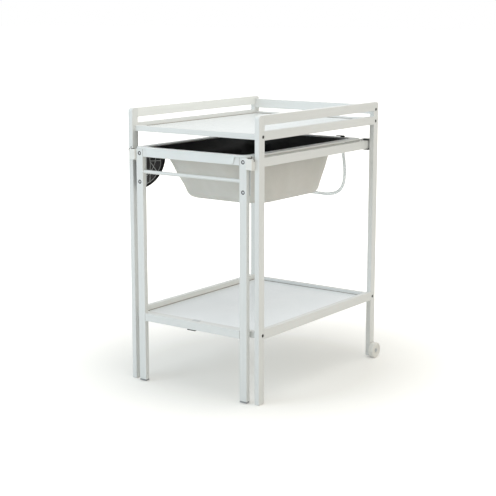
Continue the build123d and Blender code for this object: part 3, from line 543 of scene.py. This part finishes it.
skirtMesh = meshFrom("skirt", skirtShape)
shape.from_mesh(skirtMesh)
tubPiece = makePiece("tub_body", meshFrom("tub_body", shape), tubPlasticPaintedShade, "tub")
tubPiece.data.materials.append(rimPlastic)
# The rim and its skirt take the white plastic, the body the greyer copy with painted shade
for polygon in tubPiece.data.polygons:
    onSkirt = polygon.center.y < (frontFace + skirt["thick"] + tub["margin"]) * mm
    onRim = polygon.center.z > (low - tub["margin"]) * mm
    polygon.material_index = 1 if onRim or onSkirt else 0
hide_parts("tub_shell")
bpy.data.meshes.remove(skirtMesh)

# Black liner, its rolled edge just under the rim
outside = tub["shell"] + tub["linerGap"]
inside = outside + tub["liner"]
bead = tub["liner"] / 2
linerRows = insetRows(outside, tub["shell"])[::-1]
linerRows += [mouthRow(low + bead * math.sin(angle), outside + bead - bead * math.cos(angle))
              for angle in turnSteps(0, 180, tub["beadSteps"])]
linerRows += insetRows(inside, tub["shell"] + tub["liner"])
shape = bmesh.new()
stitchRings(shape, [roundedRing(*row) for row in linerRows])
linerPiece = makePiece("tub_lining", meshFrom("tub_lining", shape), linerPlastic, "tub")
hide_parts("tub_liner")
print("stage: tub")


# Pocket under the left rail: a pouch of a quarter round, bound all round, with thin piping.
# swell tells how far the cloth stands proud, and how small waves wrinkle it
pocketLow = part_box("side_pocket")[0]
pocket = {
    "frontY": pocketLow.y, "topZ": 0.814, "long": 0.134, "tall": 0.106, "backX": -0.2438, "skin": 0.0016,
    "swell": {
        "bulge": 0.0045, "power": 0.7, "reach": 1.02, "start": 0.12, "span": 0.76,
        "wrinkle": 0.0004, "acrossWaves": 9, "outWaves": 7,
    },
    "rings": 10, "spokes": 22, "tipAngle": 0.7, "binding": 0.0034, "straightSteps": 8, "roundSteps": 16,
}


def pocketPoint(share, angle, x):
    # share runs from the front top corner to the round edge, angle from the top edge down to the
    # front edge
    return Vector((x, pocket["frontY"] + share * pocket["long"] * math.cos(angle),
                   pocket["topZ"] - share * pocket["tall"] * math.sin(angle)))


def pocketFace(share, angle):
    # The inner cloth stands proud in the middle and dips along the bound edges
    swell = pocket["swell"]
    outward = math.sin(math.pi * min(1, share * swell["reach"])) ** swell["power"]
    across = math.sin(math.pi * (swell["start"] + swell["span"] * angle / (math.pi / 2)))
    wrinkle = swell["wrinkle"] * math.sin(swell["acrossWaves"] * angle) * math.sin(swell["outWaves"] * share)
    faceX = pocket["backX"] + pocket["skin"] + swell["bulge"] * (outward * across) + wrinkle
    return pocketPoint(share, angle, faceX)


shape = bmesh.new()
front, back = [], []
for ring in range(1, pocket["rings"] + 1):
    share = ring / pocket["rings"]
    angles = [math.pi / 2 * spoke / pocket["spokes"] for spoke in range(pocket["spokes"] + 1)]
    front.append([shape.verts.new(pocketFace(share, angle)) for angle in angles])
    back.append([shape.verts.new(pocketPoint(share, angle, pocket["backX"])) for angle in angles])
frontTip = shape.verts.new(pocketFace(0, pocket["tipAngle"]))
backTip = shape.verts.new(pocketPoint(0, 0, pocket["backX"]))
for tip, sheetRows in ((frontTip, front), (backTip, back)):
    for i in range(pocket["spokes"]):
        shape.faces.new((tip, sheetRows[0][i], sheetRows[0][i + 1]))
        for first, second in zip(sheetRows, sheetRows[1:]):
            shape.faces.new((first[i], first[i + 1], second[i + 1], second[i]))
for i in range(pocket["spokes"]):
    shape.faces.new((front[-1][i], front[-1][i + 1], back[-1][i + 1], back[-1][i]))
for side in (0, -1):
    shape.faces.new((frontTip, front[0][side], back[0][side], backTip))
    for k in range(pocket["rings"] - 1):
        shape.faces.new((front[k][side], front[k + 1][side], back[k + 1][side], back[k][side]))
pocketPiece = makePiece("pocket_cloth", meshFrom("pocket_cloth", shape), pocketCloth, "tub_carriage")
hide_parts("side_pocket")

edgeX = pocket["backX"] + pocket["binding"]
straightSteps, roundSteps = pocket["straightSteps"], pocket["roundSteps"]
edgePoints = [pocketPoint(step / straightSteps, 0, edgeX) for step in range(straightSteps)]
edgePoints += [pocketPoint(1, math.pi / 2 * step / roundSteps, edgeX) for step in range(roundSteps + 1)]
edgePoints += [pocketPoint(step / straightSteps, math.pi / 2, edgeX)
               for step in range(straightSteps - 1, 0, -1)]
bindingMesh = curveMesh("pocket_binding", edgePoints, pocket["binding"], cyclic=True)
bindingPiece = makePiece("pocket_binding", bindingMesh, bindingTape, "tub_carriage")

# Tab that stands up from the pocket's top edge
tab = {
    "front": pocketLow.y + 0.063, "long": 0.066, "low": 0.808, "high": 0.837, "thick": 0.0022,
    "cuts": 6, "bevel": 0.8 * mm, "cornerDot": 0.5,
}
shape = bmesh.new()
bmesh.ops.create_cube(shape, size=1)
for vert in shape.verts:
    vert.co = Vector((pocket["backX"] + tab["thick"] * (0.5 + vert.co.x),
                      tab["front"] + tab["long"] * (0.5 + vert.co.y),
                      tab["low"] + (tab["high"] - tab["low"]) * (0.5 + vert.co.z)))
bmesh.ops.subdivide_edges(shape, edges=list(shape.edges), cuts=tab["cuts"], use_grid_fill=True)
cornerEdges = [e for e in shape.edges if len(e.link_faces) == 2
               and e.link_faces[0].normal.dot(e.link_faces[1].normal) < tab["cornerDot"]]
bmesh.ops.bevel(shape, geom=cornerEdges, offset=tab["bevel"], segments=2, affect="EDGES")
tabPiece = makePiece("pocket_tab", meshFrom("pocket_tab", shape), bindingTape, "tub_carriage")

# Piping on the cloth: each point is its share and its angle on the pocket
piping = {
    "radius": 0.0012, "rise": 0.0003,
    "lines": [
        [(0.37, 0.12), (0.46, 0.62), (0.57, 0.89), (0.81, 1.1), (0.95, 1.18)],
        [(0.39, 0.36), (0.49, 0.31), (0.61, 0.27), (0.72, 0.24), (0.84, 0.22)],
        [(0.84, 0.17), (0.86, 0.31), (0.9, 0.45), (0.88, 0.61), (0.92, 0.82), (0.93, 1.03), (0.94, 1.3),
         (0.93, 1.48)],
        [(0.42, 0.46), (0.5, 0.53), (0.58, 0.59), (0.68, 0.64), (0.79, 0.67), (0.9, 0.7)],
        [(0.62, 0.13), (0.62, 0.3), (0.61, 0.51), (0.62, 0.75), (0.64, 1.0), (0.68, 1.3), (0.7, 1.48)],
    ],
}
for number, line in enumerate(piping["lines"], 1):
    points = [pocketFace(share, angle) + Vector((piping["rise"], 0, 0)) for share, angle in line]
    pieceName = f"pocket_piping_{number}"
    piece = makePiece(pieceName, curveMesh(pieceName, points, piping["radius"]), pipingCord, "tub_carriage")
print("stage: pocket")


# Black rings of painted shade round the heads of the four leg bolts, at the mouth of each recess, for the
# shadow inside it
boltShadeRing = {
    "x": 226, "levels": (835, 733.5), "frontY": -394.75, "deep": 0.05, "thick": 0.3,
    "inner": 3.7, "outer": 7.2, "steps": 28,
}
turns = [2 * math.pi * step / boltShadeRing["steps"] for step in range(boltShadeRing["steps"])]
section = ((boltShadeRing["inner"], 0), (boltShadeRing["outer"], 0), (boltShadeRing["outer"], boltShadeRing["thick"]),
           (boltShadeRing["inner"], boltShadeRing["thick"]))
shape = bmesh.new()
for x in (-boltShadeRing["x"], boltShadeRing["x"]):
    for level in boltShadeRing["levels"]:
        rings = []
        for radius, depth in section:
            y = boltShadeRing["frontY"] + boltShadeRing["deep"] + depth
            circle = [Vector((x + radius * math.cos(turn), y, level + radius * math.sin(turn))) * mm
                      for turn in turns]
            rings.append([shape.verts.new(point) for point in circle])
        joinLoops(shape, rings + rings[:1])
boltShadeRingPiece = makePiece("leg_bolt_shade_rings", meshFrom("leg_bolt_shade_rings", shape), blackPlastic, "tub_carriage")
print("stage: bolt_shade_rings")


# Two small dark marks lie on the cap in the photo. They are guessed to be a bent spring clip:
# a hook and a short foot
clip = {
    "wire": 1.1 * mm, "back": 6.5 * mm,
    "hook": [(0.262, 0.0085), (0.2638, 0.005), (0.262, 0.0016), (0.258, 0.0012), (0.252, 0.0012),
             (0.247, 0.0012)],
    "foot": [(0.2705, 0.0012), (0.2735, 0.0006), (0.2738, -0.003), (0.2735, -0.0075)],
}
capLow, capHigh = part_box("rail_end_caps")
for side, way in (("left", -1), ("right", 1)):
    for part in ("hook", "foot"):
        route = [(way * x, capLow.y + clip["back"], capHigh.z + rise) for x, rise in clip[part]]
        clipName = f"{side}_cap_clip_{part}"
        clipPiece = makePiece(clipName, curveMesh(clipName, route, clip["wire"]), darkSteel, "tub_carriage")
print("stage: cap clips")


# Brown joint lines of painted shade, for the shadow in the joints: round each panel, in the gap
# between it and its rails, and where the cross pieces meet the legs
seam = {
    "gap": 1.5 * mm, "play": 0.05 * mm, "rise": 0.9 * mm, "thick": 3 * mm, "line": 0.45 * mm, "short": 1 * mm,
    "boards": [
        {"panel": "changing_panel", "level": 0.923, "front": "front_apron", "rear": "rear_top_rail"},
        {"panel": "shelf_panel", "level": 0.242, "front": "front_shelf_rail", "rear": "rear_shelf_rail"},
    ],
    "crossPieces": ("front_rail", "leg_stretcher"),
}
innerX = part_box("left_top_rail")[1].x
outerInset, innerInset = seam["play"], seam["gap"] - seam["play"]
for board in seam["boards"]:
    frontY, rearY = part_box(board["front"])[1].y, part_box(board["rear"])[0].y
    shape = bmesh.new()
    rings = []
    for inset, drop in ((outerInset, 0), (innerInset, 0), (innerInset, seam["thick"]),
                        (outerInset, seam["thick"])):
        x, z = innerX + inset, board["level"] + seam["rise"] - drop
        corners = ((x, frontY + inset), (-x, frontY + inset), (-x, rearY - inset), (x, rearY - inset))
        rings.append([shape.verts.new((cornerX, y, z)) for cornerX, y in corners])
    joinLoops(shape, rings + rings[:1])
    seamName = board["panel"] + "_seam"
    seamPiece = makePiece(seamName, meshFrom(seamName, shape), seamShade, "table", smooth=False)
for name in seam["crossPieces"]:
    railLow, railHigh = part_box(name)
    for side, x in (("left", railLow.x - seam["line"]), ("right", railHigh.x + seam["line"])):
        levels = (railLow.z + seam["short"], (railLow.z + railHigh.z) / 2, railHigh.z - seam["short"])
        ends = [(x, railLow.y + seam["line"] / 2, z) for z in levels]
        lineName = f"{name}_{side}_joint"
        linePiece = makePiece(lineName, curveMesh(lineName, ends, seam["line"]), seamShade, "tub_carriage")
print("stage: joint lines")


# Floor and daylight studio: white all round, with the table's own shadow kept on the floor
studio = {
    "floor": "#E4E3DF", "floorSize": 60, "lift": (0.22, 0.98), "liftReach": (0.42, 1.6),
    "liftTint": "#FFFDF9", "coolSide": ("#DCEBF7", 0.64), "warmSide": ("#FAF4EA", 0.89),
    "warmWay": (0.82, 0.57, 0), "lampAim": (0, 0, 0.5),
    "lamps": [
        {"name": "overhead", "place": (0.35, -0.3, 2.6), "size": 2.0, "power": 17, "colour": "#FBFBFA"},
        {"name": "window", "place": (-1.9, -4.0, 1.9), "size": 2.6, "power": 52, "colour": "#E0F0FD"},
        {"name": "warm_side", "place": (4.4, -1.3, 1.3), "size": 3.0, "power": 4, "colour": "#FFE8CC"},
    ],
}


def seenRays(material):
    # 1 for the rays of the eye, of reflections and through clear things, so that what they see can
    # be whiter than what lights the table
    rays = addNode(material, "ShaderNodeLightPath")
    found = rays.outputs["Is Camera Ray"]
    for kind in ("Is Glossy Ray", "Is Transmission Ray"):
        found = addNode(material, "ShaderNodeMath", {"operation": "MAXIMUM"}, {
            0: found, 1: rays.outputs[kind],
        }).outputs["Value"]
    return found


shape = bmesh.new()
bmesh.ops.create_grid(shape, x_segments=2, y_segments=2, size=studio["floorSize"])
floorMesh = meshFrom("floor", shape)
floorPiece = bpy.data.objects.new("floor", floorMesh)
bpy.context.scene.collection.objects.link(floorPiece)
floorPaint = newMaterial("painted_floor")
matte = addNode(floorPaint, "ShaderNodeBsdfDiffuse", {"Color": hexColour(studio["floor"])})
floorPlace = addNode(floorPaint, "ShaderNodeTexCoord").outputs["Object"]
reach = addNode(floorPaint, "ShaderNodeVectorMath", {"operation": "LENGTH"}, {"Vector": floorPlace})
liftSize = addNode(floorPaint, "ShaderNodeMapRange", {
    "From Min": studio["liftReach"][0], "From Max": studio["liftReach"][1],
    "To Min": studio["lift"][0], "To Max": studio["lift"][1],
}, {"Value": reach.outputs["Value"]})
liftAmount = addNode(floorPaint, "ShaderNodeMath", {"operation": "MULTIPLY"}, {
    0: seenRays(floorPaint), 1: liftSize.outputs["Result"],
})
lift = addNode(floorPaint, "ShaderNodeEmission", {"Color": hexColour(studio["liftTint"])},
               {"Strength": liftAmount.outputs["Value"]})
both = addNode(floorPaint, "ShaderNodeAddShader", links={
    0: matte.outputs["BSDF"], 1: lift.outputs["Emission"],
})
addNode(floorPaint, "ShaderNodeOutputMaterial", links={"Surface": both.outputs["Shader"]})
floorMesh.materials.append(floorPaint)

world = bpy.data.worlds.new("studio")
bpy.context.scene.world = world
world.use_nodes = True
world.node_tree.nodes.clear()
# The walls: cool and dimmer on one side, warm and brighter on the other
look = addNode(world, "ShaderNodeTexCoord").outputs["Generated"]
facing = addNode(world, "ShaderNodeVectorMath", {"operation": "DOT_PRODUCT"}, {0: look})
facing.inputs[1].default_value = studio["warmWay"]
warmth = addNode(world, "ShaderNodeMapRange", {"From Min": -1, "From Max": 1, "To Min": 0, "To Max": 1},
                 {"Value": facing.outputs["Value"]})
coolWall, warmWall = [
    addNode(world, "ShaderNodeBackground", {"Color": hexColour(colour), "Strength": strength})
    for colour, strength in (studio["coolSide"], studio["warmSide"])
]
soft = addNode(world, "ShaderNodeMixShader", links={
    0: warmth.outputs["Result"], 1: coolWall.outputs["Background"], 2: warmWall.outputs["Background"],
})
white = addNode(world, "ShaderNodeBackground", {"Color": (1, 1, 1, 1), "Strength": 1})
choice = addNode(world, "ShaderNodeMixShader", links={
    0: seenRays(world), 1: soft.outputs["Shader"], 2: white.outputs["Background"],
})
addNode(world, "ShaderNodeOutputWorld", links={"Surface": choice.outputs["Shader"]})

for lamp in studio["lamps"]:
    light = bpy.data.lights.new(lamp["name"], "AREA")
    light.energy = lamp["power"]
    light.size = lamp["size"]
    light.color = hexColour(lamp["colour"])[:3]
    holder = bpy.data.objects.new(lamp["name"], light)
    bpy.context.scene.collection.objects.link(holder)
    holder.location = lamp["place"]
    aim = Vector(studio["lampAim"]) - Vector(lamp["place"])
    holder.rotation_euler = aim.to_track_quat("-Z", "Y").to_euler()
bpy.context.scene.view_settings.view_transform = "Standard"
print("stage: studio")
